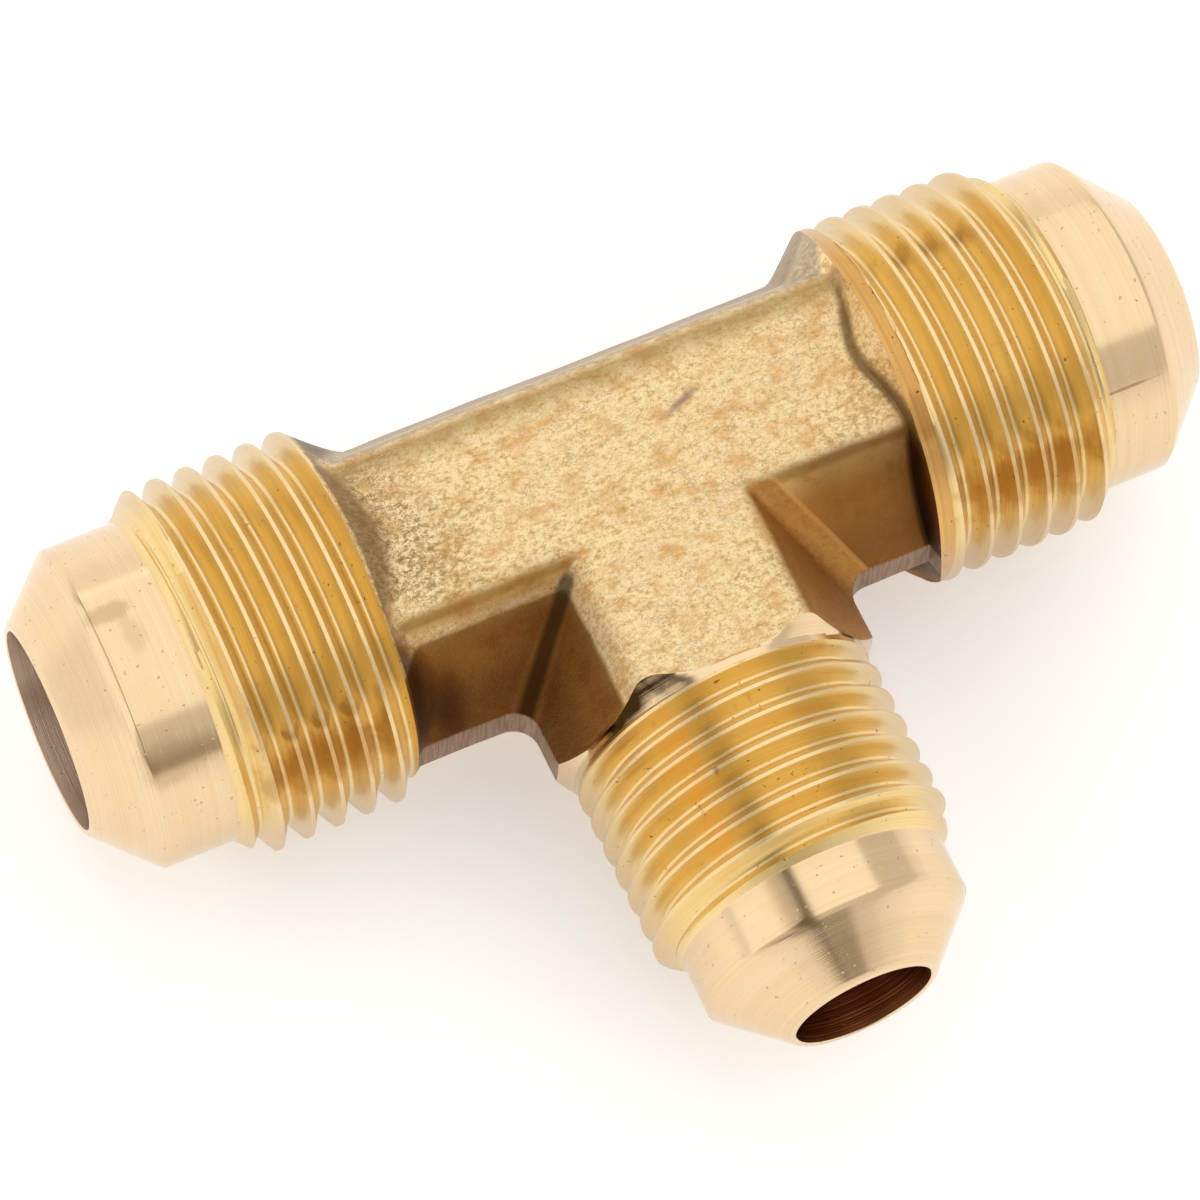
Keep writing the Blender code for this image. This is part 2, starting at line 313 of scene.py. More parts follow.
def forged_skin():
    """The forging's finish: mottled gold on the crowns, brown oxide on the sides by their height with
    painted shade darkening them towards the flash, a painted pale reflection on the run's back slope,
    painted shade in the corners and along the run's right side, a painted highlight on the front left edge,
    sheared lilac on the flash, and a few single marks."""
    material, tree, shader, coords = new_brass("forged_skin")
    fine = grain(tree, coords, FINE_SIZES, 3.0, 0.7)
    small = grain(tree, coords, FLAKE_SIZES, 7.0, 0.8, 3.1)
    middle = grain(tree, coords, BLOTCH_SIZES, 5.0, 0.65, 7.7)
    wide = grain(tree, coords, WIDE_SIZES, 2.0, 0.5, 1.3)
    folds = grain(tree, coords, FOLD_SIZES, 4.0, 0.6, 5.5)
    mottle = maths(tree, "ADD", times(tree, fine, FINE_SHARE), times(tree, small, 1 - FINE_SHARE))
    wobble = maths(tree, "SUBTRACT", middle, 0.5)
    uneven = times(tree, wobble, TONE_STRAY)
    place_of = node(tree, "ShaderNodeSeparateXYZ", {"Vector": coords}).node
    rise = maths(tree, "ABSOLUTE", maths(tree, "SUBTRACT", place_of.outputs["Z"], float(CROSSING[2])))
    rise = maths(tree, "DIVIDE", rise, MM)
    across = maths(tree, "SUBTRACT", place_of.outputs["Y"], float(CROSSING[1]))
    across = maths(tree, "DIVIDE", across, MM)
    along = maths(tree, "DIVIDE", place_of.outputs["X"], MM)
    lowered = maths(tree, "ADD", rise, uneven)
    behind = span(tree, across, *BACK_START)
    front = maths(tree, "SUBTRACT", 1.0, behind)

    colour = blend(tree, span(tree, mottle, *LIGHT_GRAINS), PALE_GOLD, CREAM)
    colour = tinted(tree, colour, TAN, span(tree, middle, *TAN_BLOTCHES), 0.75)
    creases = maths(tree, "ABSOLUTE", maths(tree, "SUBTRACT", folds, 0.5))
    creases = times(tree, span(tree, creases, *FOLD_LINES), span(tree, wide, *FOLD_AREAS))
    colour = tinted(tree, colour, DARK_SPECK, creases, 0.3)
    worn = maths(tree, "ADD", small, times(tree, maths(tree, "SUBTRACT", wide, 0.5), 0.4))
    colour = tinted(tree, colour, OLIVE, span(tree, worn, *OLIVE_FLAKES), 0.6)
    colour = tinted(tree, colour, DARK_SPECK, span(tree, mottle, *CROWN_SPECKS), 0.6)
    greys = patch(tree, coords, (-12.6, 0.2, 7.6), (4.4, 8, 5), 0.2, 1.0, wobble)
    greys = times(tree, greys, span(tree, mottle, *GREY_GRAINS))
    colour = tinted(tree, colour, GREY_OLIVE, greys, 0.75)
    rim = times(tree, span(tree, maths(tree, "ADD", across, uneven), *BACK_RIM), front)
    colour = tinted(tree, colour, OLIVE, rim, 0.7)

    # Past the left of the branch the crown's colours reach further down the round edge: a painted
    # highlight.
    past_left = times(tree, span(tree, along, *LEFT_START), span(tree, across, *LEFT_FRONT))
    round_edge = maths(tree, "ADD", rise, times(tree, wobble, EDGE_STRAY))
    round_edge = maths(tree, "ADD", round_edge, times(tree, past_left, LEFT_HIGHLIGHT_LIFT))
    side = times(tree, span(tree, round_edge, *CROWN_END), front)
    side = maths(tree, "MAXIMUM", side, span(tree, rise, *SLOPE_END))
    # The sides' tone by height: brown oxide, with painted shade making it darker towards the flash.
    tone = blend(tree, span(tree, rise, *GREEN_END), EDGE_OLIVE, SIDE_GOLD)
    tone = blend(tree, span(tree, lowered, *BROWN_HEIGHTS), tone, SIDE_BROWN)
    tone = blend(tree, span(tree, lowered, *DARK_HEIGHTS), tone, SIDE_DARK)
    tone = tinted(tree, tone, RUST, span(tree, middle, *RUST_BLOTCHES), 0.5)
    tone = tinted(tree, tone, EDGE_OLIVE, span(tree, small, *PALE_FLAKES), 0.6)
    tone = tinted(tree, tone, VALLEY_DARK, span(tree, mottle, *SIDE_SPECKS), 0.6)
    # Painted shade on the front past the left of the branch.
    tone = tinted(tree, tone, VALLEY_DARK, past_left, 0.5)
    tone = tinted(tree, tone, SIDE_SHADE, span(tree, along, *RIGHT_SHADE), 0.65)
    from_valley = maths(tree, "ADD", along, across)
    past_right = times(tree, span(tree, along, *RIGHT_START), span(tree, across, *RIGHT_FRONT))
    smooth_gold = times(tree, past_right, span(tree, from_valley, *VALLEY_GOLD))
    plain_gold = blend(tree, span(tree, mottle, *GOLD_GRAINS), SIDE_DARK, HOLLOW_GOLD)
    tone = tinted(tree, tone, plain_gold, smooth_gold, 0.85)
    rim_line = maths(tree, "ABSOLUTE", maths(tree, "SUBTRACT", from_valley, VALLEY_LINE))
    rim_line = times(tree, span(tree, rim_line, *LINE_WIDTHS), past_right)
    tone = tinted(tree, tone, TAN, rim_line, 0.5)
    colour = blend(tree, side, colour, tone)

    # The run's back slope, seen edge-on, is painted pale grey: a painted reflection.
    far_sheen = times(tree, behind, span(tree, rise, *FAR_HEIGHTS))
    colour = tinted(tree, colour, FAR_SHEEN_GREY, far_sheen, span(tree, small, *FAR_FLAKES))
    # Painted shade from the mesh: black-brown on the sides, olive on the crown, none on the smooth gold.
    painted_shade = node(tree, "ShaderNodeAttribute", {}, output="Fac", attribute_name="painted_shade")
    deep = times(tree, span(tree, painted_shade, *SHADE_DEPTHS), maths(tree, "SUBTRACT", 1.0, smooth_gold))
    shade = blend(tree, span(tree, rise, *SHADE_HEIGHTS), VALLEY_DARK, DARK_OLIVE)
    colour = tinted(tree, colour, shade, deep, 0.85)
    # The two dark marks by the collars are painted shade; the copper one is a stain.
    for centre, sizes, share, tint in (
        ((-12.4, -7.4, 2.6), (1.6, 2.6, 3.6), 0.7, VALLEY_DARK),
        ((12.0, -8.0, 4.4), (0.7, 1.4, 1.4), 0.8, COPPER),
        ((11.9, -6.4, 6.0), (0.6, 1.2, 1.0), 0.8, VALLEY_DARK),
    ):
        mark = patch(tree, coords, centre, sizes, 0.0, 0.8, times(tree, uneven, MARK_STRAY))
        colour = tinted(tree, colour, tint, mark, share)
    shear = span(tree, grain(tree, coords, SHEAR_SIZES, 2.0, 0.5, 4.0), *SHEAR_LINES)
    flash = times(tree, span(tree, rise, *FLASH_EDGE), front)
    colour = blend(tree, flash, colour, blend(tree, shear, FLASH_BROWN, FLASH_LILAC))
    stray = times(tree, uneven, SCRATCH_STRAY)
    scratch = patch(tree, coords, (3.5, 0.75, 7.65), (1.7, 0.3, 2), math.radians(22), 0.9, stray)
    colour = tinted(tree, colour, SCRATCHED, scratch, 0.75)
    relief = maths(tree, "SUBTRACT", mottle, times(tree, scratch, 0.4))
    rough = node(tree, "ShaderNodeMapRange", {"Value": small, "To Min": 0.34, "To Max": 0.55})
    finish(tree, shader, colour, rough, relief, SKIN_RELIEF)
    return material


# Collars
# Both ends of the run swell into a collar that the turning tool then cuts square.
# The swelling is a short cone, so its foot bends away from the collar over the crown.
RIGHT_SHOULDER = 13.3 * MM
RIGHT_SKIN_OVERRUN = 0.7 * MM
RIGHT_SKIN_ANGLE, RIGHT_SKIN_SPREAD = math.radians(172), math.radians(30)
LOW_FRONT_OVERRUN = 0.9 * MM
LOW_FRONT_ANGLE, LOW_FRONT_SPREAD = math.radians(-32), math.radians(26)
LEFT_SHOULDER = 14.45 * MM
LONG_FLARE, SHORT_FLARE, CROWN_FLARE = 1.15, 0.2, 0.36
LONG_START, LONG_SPAN = 0.35, 0.35
CROWN_ANGLE, CROWN_SPREAD = math.radians(88), math.radians(16)
FLARE_FOOT = -0.2
LEFT_FOOT_ROUNDING, RIGHT_FOOT_ROUNDING = 0.4, 0.12
FOOT_SHADE, FOOT_SHADE_AHEAD, FOOT_SHADE_TURN, FOOT_SHADE_LEAST = 0.36 * MM, 1.4, 2, 0.3
PAST_SPAN = 1.6 * MM
LEFT_PAST_SHADE = 0.78
COLLAR_TRUST = (0.75, 0.5, 0.25, 0)
BAND_BELOW_CREST, NO_BAND, BAND_ROWS = 0.09 * MM, 0, 4


def flare_run(arm):
    """How far each column flares for its rise: long, but short at the right collar's front, rising a
    little over its crown."""
    if arm is LEFT_ARM:
        return LONG_FLARE + 0 * ANGLES
    backward = np.clip((-np.cos(ANGLES) - LONG_START) / LONG_SPAN, 0, 1)
    from_side = abs((ANGLES + np.pi) % (2 * np.pi) - np.pi)
    crown = np.exp(-(((from_side - CROWN_ANGLE) / CROWN_SPREAD) ** 2))
    short = SHORT_FLARE + CROWN_FLARE * crown
    return np.maximum(short, SHORT_FLARE + (LONG_FLARE - SHORT_FLARE) * backward)


def flare_rows(arm, shoulders, collar):
    """Rows from the bare section out to the collar's circle: a cone with a rounded foot, by each column's
    own rise."""
    radius = section_radius(arm)
    swell = collar - radius
    share = np.linspace(FLARE_FOOT, 1, FLARE_ROWS + 1)[:, None]
    rounding = LEFT_FOOT_ROUNDING if arm is LEFT_ARM else RIGHT_FOOT_ROUNDING
    bend = share + np.sqrt(share**2 + rounding**2)
    bend = (bend - bend[0]) / (bend[-1] - bend[0])
    along = shoulders - swell * flare_run(arm) * (1 - share)
    reach = radius + swell * bend
    return along, reach * np.cos(ANGLES), reach * np.sin(ANGLES), np.zeros(reach.shape)


def forged_arm(arm, shoulders, collar, foot_shade_share, past_shade_share):
    """One arm of the run: the bare rows and the flare, hammered, but with the collar's circle left true.
    It takes painted shade along the flare's foot, and past it."""
    flare = flare_rows(arm, shoulders, collar)
    bare = arm_rows(arm, flare[0][0])
    along, across, rise, painted_shade = (np.vstack([b, f[1:]]) for b, f in zip(bare, flare))
    foot = flare[0][0] - FLARE_FOOT * flare_run(arm) * (collar - section_radius(arm))
    # Painted shade: a line along the flare's foot, and a wash past it over the left flare.
    ahead = np.clip(FOOT_SHADE_AHEAD + FOOT_SHADE_TURN * np.cos(ANGLES), FOOT_SHADE_LEAST, 1)
    near = np.exp(-(((along - foot) / FOOT_SHADE) ** 2)) * foot_shade_share * ahead
    past = np.clip((along - foot) / PAST_SPAN + 0.5, 0, 1) * past_shade_share
    painted_shade = np.maximum(painted_shade, np.maximum(near, past))
    points = place(arm, along, across, rise)
    trust = np.ones(len(along))
    trust[-len(COLLAR_TRUST):] = COLLAR_TRUST
    return points + (hammered(points) - points) * trust[:, None, None], painted_shade


# Turned ends
# Each end is turned, threaded with a 60 degree unified thread and left with a plain nose.
# The nose ends in a 45 degree cone, which seals against the flared tube, and a narrow flat ring.
RUN_PITCH = 25.4 / 16 * MM
BRANCH_PITCH = 25.4 / 18 * MM
BRANCH_RADIUS = 0.625 * 25.4 / 2 * MM
RUN_BORE = 13 / 32 * 25.4 / 2 * MM
BRANCH_BORE = 9 / 32 * 25.4 / 2 * MM
THREAD_DEPTH = 0.6134
END_RING = 0.3 * MM
RUN_NOSE_RADIUS = 8.27 * MM
BRANCH_NOSE_RADIUS = 6.91 * MM
RIGHT_THREAD_START = 14.15 * MM
RUN_THREAD_STOP = 23.65 * MM
BRANCH_THREAD_START = 12.85 * MM
BRANCH_THREAD_STOP = 22.9 * MM
LEFT_CREST, RIGHT_CREST, BRANCH_CREST = 15.516 * MM, 16.19 * MM, 13.97 * MM
LEFT_NOSE_EDGE, RIGHT_NOSE_EDGE, BRANCH_NOSE_EDGE = 27.3 * MM, 27.0 * MM, 25.56 * MM
RUNOUT_GAP = (0.5 * MM, 0.9 * MM)
LEAD_CHAMFER = 1.0
NOSE_ROWS, CONE_ROWS = 9, 12
EDGE_BREAK = 0.12 * MM
MOUTH_BREAK = 0.04 * MM

# One turn of thread, from crest to crest: share of the pitch, and share of the depth below the crest.
KNOTS = np.array([
    [0.0, 0.022], [0.046, 0.0], [0.066, 0.012], [0.24, 0.505], [0.408, 0.975], [0.45, 1.012],
    [0.5, 1.03], [0.55, 1.012], [0.592, 0.975], [0.76, 0.505], [0.934, 0.012], [0.954, 0.0],
])


def crest_place(arm, crest, pitch):
    """Where the crest line crosses each column: it climbs one pitch for each right-handed turn."""
    hand = np.cross(arm[1], UP) @ arm[0]
    return crest + hand * pitch * np.append(ANGLES, 2 * np.pi) / (2 * np.pi)


def thread_radius(along, crests, major, pitch):
    """Radius of the full thread at any place, read between the knots of its profile."""
    phase = ((along - crests) / pitch) % 1
    depth = np.interp(phase, np.append(KNOTS[:, 0], 1), np.append(KNOTS[:, 1], KNOTS[0, 1]))
    return major - THREAD_DEPTH * pitch * depth


def thread_rows(arm, crest, major, pitch, start, stop, band, nose):
    """Rows along the helix, one for each knot of each turn, held between start and stop. The first turn
    fills up into the band, and the last is chamfered down to the nose."""
    crests = crest_place(arm, crest, pitch)
    first = math.floor((start - crests.max()) / pitch) - 1
    last = math.ceil((stop - crests.min()) / pitch) + 1
    turns = np.arange(first, last)
    turn, knot = (g.ravel() for g in np.meshgrid(turns, np.arange(len(KNOTS)), indexing="ij"))
    along = crests + ((turn + KNOTS[knot, 0]) * pitch)[:, None]
    reach = np.broadcast_to((major - THREAD_DEPTH * pitch * KNOTS[knot, 1])[:, None], along.shape).copy()
    held = np.clip(along, start, stop)
    reach = np.where(along != held, thread_radius(held, crests, major, pitch), reach)
    first_crest = crests + np.ceil((start - crests) / pitch) * pitch
    gap = first_crest - start
    fill = np.clip((RUNOUT_GAP[1] - gap) / (RUNOUT_GAP[1] - RUNOUT_GAP[0]), 0, 1)
    reach = np.where(held < first_crest, reach + (np.maximum(band, reach) - reach) * fill, reach)
    if band:
        reach = np.where(held <= start, band, reach)
    reach = np.minimum(reach, nose + (stop - held) * LEAD_CHAMFER)
    return held, reach


def turned_end(arm, crest, major, pitch, start, stop, band, nose, edge, bore, end, names):
    """The thread, nose, cone and ring of one end, each a grid of circles round the bore."""
    angles = np.append(ANGLES, 2 * np.pi)
    along, reach = thread_rows(arm, crest, major, pitch, start, stop, band, nose)
    thread = place(arm, along, reach * np.cos(angles), reach * np.sin(angles))
    add_shell(arm, thread, names[0], wrap=False)
    mouth = bore + END_RING
    cylinder = np.linspace([stop, nose], [edge - EDGE_BREAK, nose], NOSE_ROWS)
    cone = np.linspace([edge, nose], [end, mouth], CONE_ROWS)[1:-1]
    ring = np.array([[end - MOUTH_BREAK, mouth + MOUTH_BREAK], [end, mouth - MOUTH_BREAK],
                     [end, bore + MOUTH_BREAK], [end - MOUTH_BREAK, bore]])
    profile = np.vstack([cylinder, [[edge - EDGE_BREAK / 3, nose - EDGE_BREAK / 12]], cone, ring])
    rows = np.broadcast_to(profile[:, 0, None], (len(profile), COLUMNS))
    reach = np.broadcast_to(profile[:, 1, None], rows.shape)
    add_shell(arm, place(arm, rows, reach * np.cos(ANGLES), reach * np.sin(ANGLES)), names[1])


# Turned brass
# Cut metal is bright, with fine tool marks round its axis and a few brown pores. The thread's deeper
# gold is painted for the light one flank mirrors into the next, its crests and roots carry painted
# highlights, and a pale sheen is painted where the metal is seen edge-on.
NOSE_PALE, NOSE_SATIN = screen(236, 208, 168), screen(227, 196, 152)
THREAD_GOLD, THREAD_DEEP = screen(240, 212, 150), screen(228, 194, 124)
CREST_HIGHLIGHT, PORE, STAIN_AND_DARK_REFLECTION = screen(238, 208, 158), screen(92, 52, 22), screen(130, 70, 26)
BAND_GOLD, BAND_BROWN, LOW_SHADE_GOLD = screen(226, 182, 112), screen(204, 152, 84), screen(184, 138, 72)
LENS_SHADE_DARK, NOSE_SHADE_OLIVE, OLD_GOLD = screen(62, 42, 18), screen(170, 134, 84), screen(232, 182, 100)
BORE_PALE, BORE_SHADE = screen(236, 214, 194), screen(218, 192, 170)
SHADED_BORE_BROWN, SHADED_BORE_RED = screen(200, 130, 80), screen(124, 56, 28)
PALE_SHEEN, SHEEN_SHARE = screen(206, 182, 150), 0.7
MARK_SIZE, MARK_REACH, MARK_SHARE = 0.04 * MM, 40 * MM, 0.6
BAND_SIZE, CLOUD_SIZE, SPOT_SIZE = 0.35 * MM, 2.6 * MM, 0.3 * MM
DULL_CLOUDS, PORE_SPOTS, TOOL_RELIEF = (0.5, 0.75), (0.31, 0.24), 0.02 * MM
RUN_SHEEN_WAY, BRANCH_SHEEN_WAY = (0, 0.93, 0.36), (0.97, 0, 0.23)
SHEEN_SPAN = (0.72, 1.0)
PATCH_SOFTNESS, PATCH_STREAK, PATCH_STRAY = 0.6, 0.8, 1.6
CREST_DEPTHS, ROOT_DEPTHS = (0.04 * MM, 0.01 * MM), (0.02 * MM, -0.01 * MM)


def turned(name, arm, light, dark, roughness, marks, pores=0.3, crest=None, stains_and_painted_light=()):
    """Turned brass: noise squeezed along the arm and drawn out round it gives the tool's rings. A pale
    sheen is painted along the two sides seen edge-on. A patch, whether a stain, painted shade or a
    painted reflection, is its centre and half sizes in millimetres, its cover and its colour."""
    material, tree, shader, coords = new_brass(name)
    along = abs(arm[0]) > 0.5
    rings = grain(tree, coords, np.where(along, MARK_SIZE, MARK_REACH), 2.0, 0.6)
    wide_rings = grain(tree, coords, np.where(along, BAND_SIZE, MARK_REACH), 2.0, 0.5, 5.0)
    cloud = grain(tree, coords, (CLOUD_SIZE,) * 3, 3.0, 0.6, 9.0)
    spots = grain(tree, coords, (SPOT_SIZE,) * 3, 2.0, 0.5, 2.0)
    share = maths(tree, "ADD", times(tree, rings, MARK_SHARE), times(tree, wide_rings, 1 - MARK_SHARE))
    colour = blend(tree, span(tree, share, 0.3, 0.7), dark, light)
    colour = tinted(tree, colour, dark, span(tree, cloud, *DULL_CLOUDS), 0.5)
    pore = span(tree, spots, *PORE_SPOTS)
    colour = tinted(tree, colour, PORE, pore, pores)
    if crest is not None:
        colour = crest(tree, coords, colour)
    # A pale sheen is painted along the two sides that are seen edge-on.
    away = node(tree, "ShaderNodeVectorMath", {0: coords, 1: Vector(CROSSING)}, operation="SUBTRACT")
    line = Vector(RUN_SHEEN_WAY) / RUN_RADIUS if along[0] else Vector(BRANCH_SHEEN_WAY) / BRANCH_RADIUS
    sheen = node(tree, "ShaderNodeVectorMath", {0: away, 1: line}, output="Value", operation="DOT_PRODUCT")
    sheen = span(tree, maths(tree, "ABSOLUTE", sheen), *SHEEN_SPAN)
    colour = tinted(tree, colour, PALE_SHEEN, sheen, SHEEN_SHARE)
    streak = times(tree, maths(tree, "SUBTRACT", share, 0.5), PATCH_STREAK)
    stray = times(tree, maths(tree, "SUBTRACT", cloud, 0.5), PATCH_STRAY)
    edge = maths(tree, "ADD", streak, stray)
    for centre, sizes, cover, tint in stains_and_painted_light:
        mark = patch(tree, coords, centre, sizes, 0.0, PATCH_SOFTNESS, edge)
        colour = tinted(tree, colour, tint, mark, cover)
    relief = maths(tree, "SUBTRACT", times(tree, rings, marks), pore)
    finish(tree, shader, colour, roughness, relief, TOOL_RELIEF)
    return material


def thread_highlights(arm, major, depth):
    """Painted highlights on the crests and roots, found by their distance from the bore's line."""
    def tint(tree, coords, colour):
        away = node(tree, "ShaderNodeVectorMath", {0: coords, 1: Vector(CROSSING)}, operation="SUBTRACT")
        level = Vector(1 - abs(arm[0]))
        flat = node(tree, "ShaderNodeVectorMath", {0: away, 1: level}, operation="MULTIPLY")
        reach = node(tree, "ShaderNodeVectorMath", {0: flat}, output="Value", operation="LENGTH")
        crest = span(tree, reach, *(major - below for below in CREST_DEPTHS))
        root = span(tree, reach, *(major - depth + above for above in ROOT_DEPTHS))
        colour = tinted(tree, colour, CREST_HIGHLIGHT, crest, 0.8)
        return tinted(tree, colour, CREST_HIGHLIGHT, root, 0.4)
    return tint


overrun = np.exp(-((ANGLES - RIGHT_SKIN_ANGLE) / RIGHT_SKIN_SPREAD) ** 2)
skin_shoulder = RIGHT_SHOULDER + RIGHT_SKIN_OVERRUN * overrun
from_low_front = (ANGLES - LOW_FRONT_ANGLE + np.pi) % (2 * np.pi) - np.pi
skin_shoulder = skin_shoulder + LOW_FRONT_OVERRUN * np.exp(-(from_low_front / LOW_FRONT_SPREAD) ** 2)
band = RUN_RADIUS - BAND_BELOW_CREST
points, painted_shade = forged_arm(RIGHT_ARM, skin_shoulder, band, foot_shade_share=1.0, past_shade_share=0.0)
add_shell(RIGHT_ARM, points, "forged_skin", painted_shade=painted_shade)
share = np.linspace(0, 1, BAND_ROWS + 1)[:, None]
along = skin_shoulder + (RIGHT_THREAD_START - skin_shoulder) * share
across, rise = band * np.cos(ANGLES) + 0 * along, band * np.sin(ANGLES) + 0 * along
add_shell(RIGHT_ARM, place(RIGHT_ARM, along, across, rise), "turned_band")
turned_end(RIGHT_ARM, RIGHT_CREST, RUN_RADIUS, RUN_PITCH, RIGHT_THREAD_START, RUN_THREAD_STOP, band,
           RUN_NOSE_RADIUS, RIGHT_NOSE_EDGE, RUN_BORE, RIGHT_REACH, ("thread_run", "turned_run"))

left_crests = crest_place(LEFT_ARM, LEFT_CREST, RUN_PITCH)[:-1]
left_edge = thread_radius(LEFT_SHOULDER, left_crests, RUN_RADIUS, RUN_PITCH)
points, painted_shade = forged_arm(LEFT_ARM, LEFT_SHOULDER + 0 * ANGLES, left_edge, foot_shade_share=0.0,
                            past_shade_share=LEFT_PAST_SHADE)
add_shell(LEFT_ARM, points, "forged_skin", painted_shade=painted_shade)
turned_end(LEFT_ARM, LEFT_CREST, RUN_RADIUS, RUN_PITCH, LEFT_SHOULDER, RUN_THREAD_STOP, NO_BAND,
           RUN_NOSE_RADIUS, LEFT_NOSE_EDGE, RUN_BORE, RUN_REACH, ("thread_run", "turned_run"))

# Branch shoulder
# The branch's thread is smaller than its forged section, so a turning tool faces the
# six corners down to a cone and leaves a bright scallop on each of them.
SHOULDER_FOOT = 12.5 * MM
SHOULDER_SLOPE, SUNK_SLOPE = 0.85, 0.3
SHORT_STEP = 0.12 * MM
SHOULDER_TRUST = (0.7, 0.4, 0.0)
branch_band = BRANCH_RADIUS - BAND_BELOW_CREST
section = section_radius(BRANCH_ARM)
proud = section - branch_band
facing = SHOULDER_FOOT - np.where(proud > 0, proud * SHOULDER_SLOPE, -proud * SUNK_SLOPE) - SHORT_STEP
branch_rows = arm_rows(BRANCH_ARM, facing)
points = place(BRANCH_ARM, *branch_rows[:3])
trust = np.ones(len(branch_rows[0]))
trust[-len(SHOULDER_TRUST):] = SHOULDER_TRUST
points = points + (hammered(points) - points) * trust[:, None, None]
add_shell(BRANCH_ARM, points, "forged_skin", painted_shade=branch_rows[3])
share = np.linspace(0, 1, SHOULDER_ROWS + 1)[:, None]
along = facing + (SHOULDER_FOOT - facing) * share
reach = section + (branch_band - section) * share
round_part = SHOULDER_FOOT + (BRANCH_THREAD_START - SHOULDER_FOOT) * share[1:] + 0 * facing
along = np.vstack([along, round_part])
reach = np.vstack([reach, branch_band + 0 * round_part])
points = place(BRANCH_ARM, along, reach * np.cos(ANGLES), reach * np.sin(ANGLES))
add_shell(BRANCH_ARM, points, "turned_branch")
turned_end(BRANCH_ARM, BRANCH_CREST, BRANCH_RADIUS, BRANCH_PITCH, BRANCH_THREAD_START, BRANCH_THREAD_STOP,
           branch_band, BRANCH_NOSE_RADIUS, BRANCH_NOSE_EDGE, BRANCH_BORE, BRANCH_REACH,
           ("thread_branch", "turned_branch"))

# Bores
# The run is drilled right through and the branch is drilled into it.
# The walls meet on the same seams as the forging outside, so the metal is one closed body.
BORE_ROWS, CORNER_ROWS = 12, 4
WELD = 2e-7
SHARP_ANGLE = math.radians(38)
for arm, end in ((RIGHT_ARM, RIGHT_REACH), (LEFT_ARM, RUN_REACH)):
    seam = RUN_BORE * np.maximum(np.cos(ANGLES), 0)
    share = np.linspace(0, 1, BORE_ROWS + 1)[:, None]
    along = seam + (end - MOUTH_BREAK - seam) * share
    across, rise = RUN_BORE * np.cos(ANGLES) + 0 * along, RUN_BORE * np.sin(ANGLES) + 0 * along
    add_shell(arm, place(arm, along, across, rise), "bore_run", inward=True)
share = np.linspace(1, 0, CORNER_ROWS + 1)[:, None]
reach = BRANCH_BORE + (RUN_BORE - BRANCH_BORE) * share
wall = np.sqrt(np.maximum(RUN_BORE**2 - (reach * np.sin(ANGLES)) ** 2, 0))
mouth = wall[-1]
share = np.linspace(0, 1, BORE_ROWS + 1)[1:, None]
along = np.vstack([wall, mouth + (BRANCH_REACH - MOUTH_BREAK - mouth) * share])
reach = np.vstack([reach, BRANCH_BORE + 0 * share]) + 0 * along
add_shell(BRANCH_ARM, place(BRANCH_ARM, along, reach * np.cos(ANGLES), reach * np.sin(ANGLES)),
          "bore_branch", inward=True)

names = sorted({material for _, _, material, _ in shells})
offsets = np.cumsum([0] + [len(points) for points, _, _, _ in shells[:-1]])
vertices = np.vstack([points for points, _, _, _ in shells])
faces = np.vstack([quads + offset for (_, quads, _, _), offset in zip(shells, offsets)])
kinds = np.concatenate([np.full(len(quads), names.index(material)) for _, quads, material, _ in shells])
painted_shades = np.concatenate([painted_shade for _, _, _, painted_shade in shells])
mesh = bpy.data.meshes.new("tee_brass")
mesh.from_pydata(vertices.tolist(), [], faces.tolist())
mesh.polygons.foreach_set("material_index", kinds.astype(np.int32))
mesh.attributes.new("painted_shade", "FLOAT", "POINT").data.foreach_set("value", painted_shades.astype(np.float32))
body = bmesh.new()
body.from_mesh(mesh)
bmesh.ops.remove_doubles(body, verts=body.verts, dist=WELD)
body.to_mesh(mesh)
body.free()
mesh.polygons.foreach_set("use_smooth", np.ones(len(mesh.polygons), bool))
mesh.set_sharp_from_angle(angle=SHARP_ANGLE)

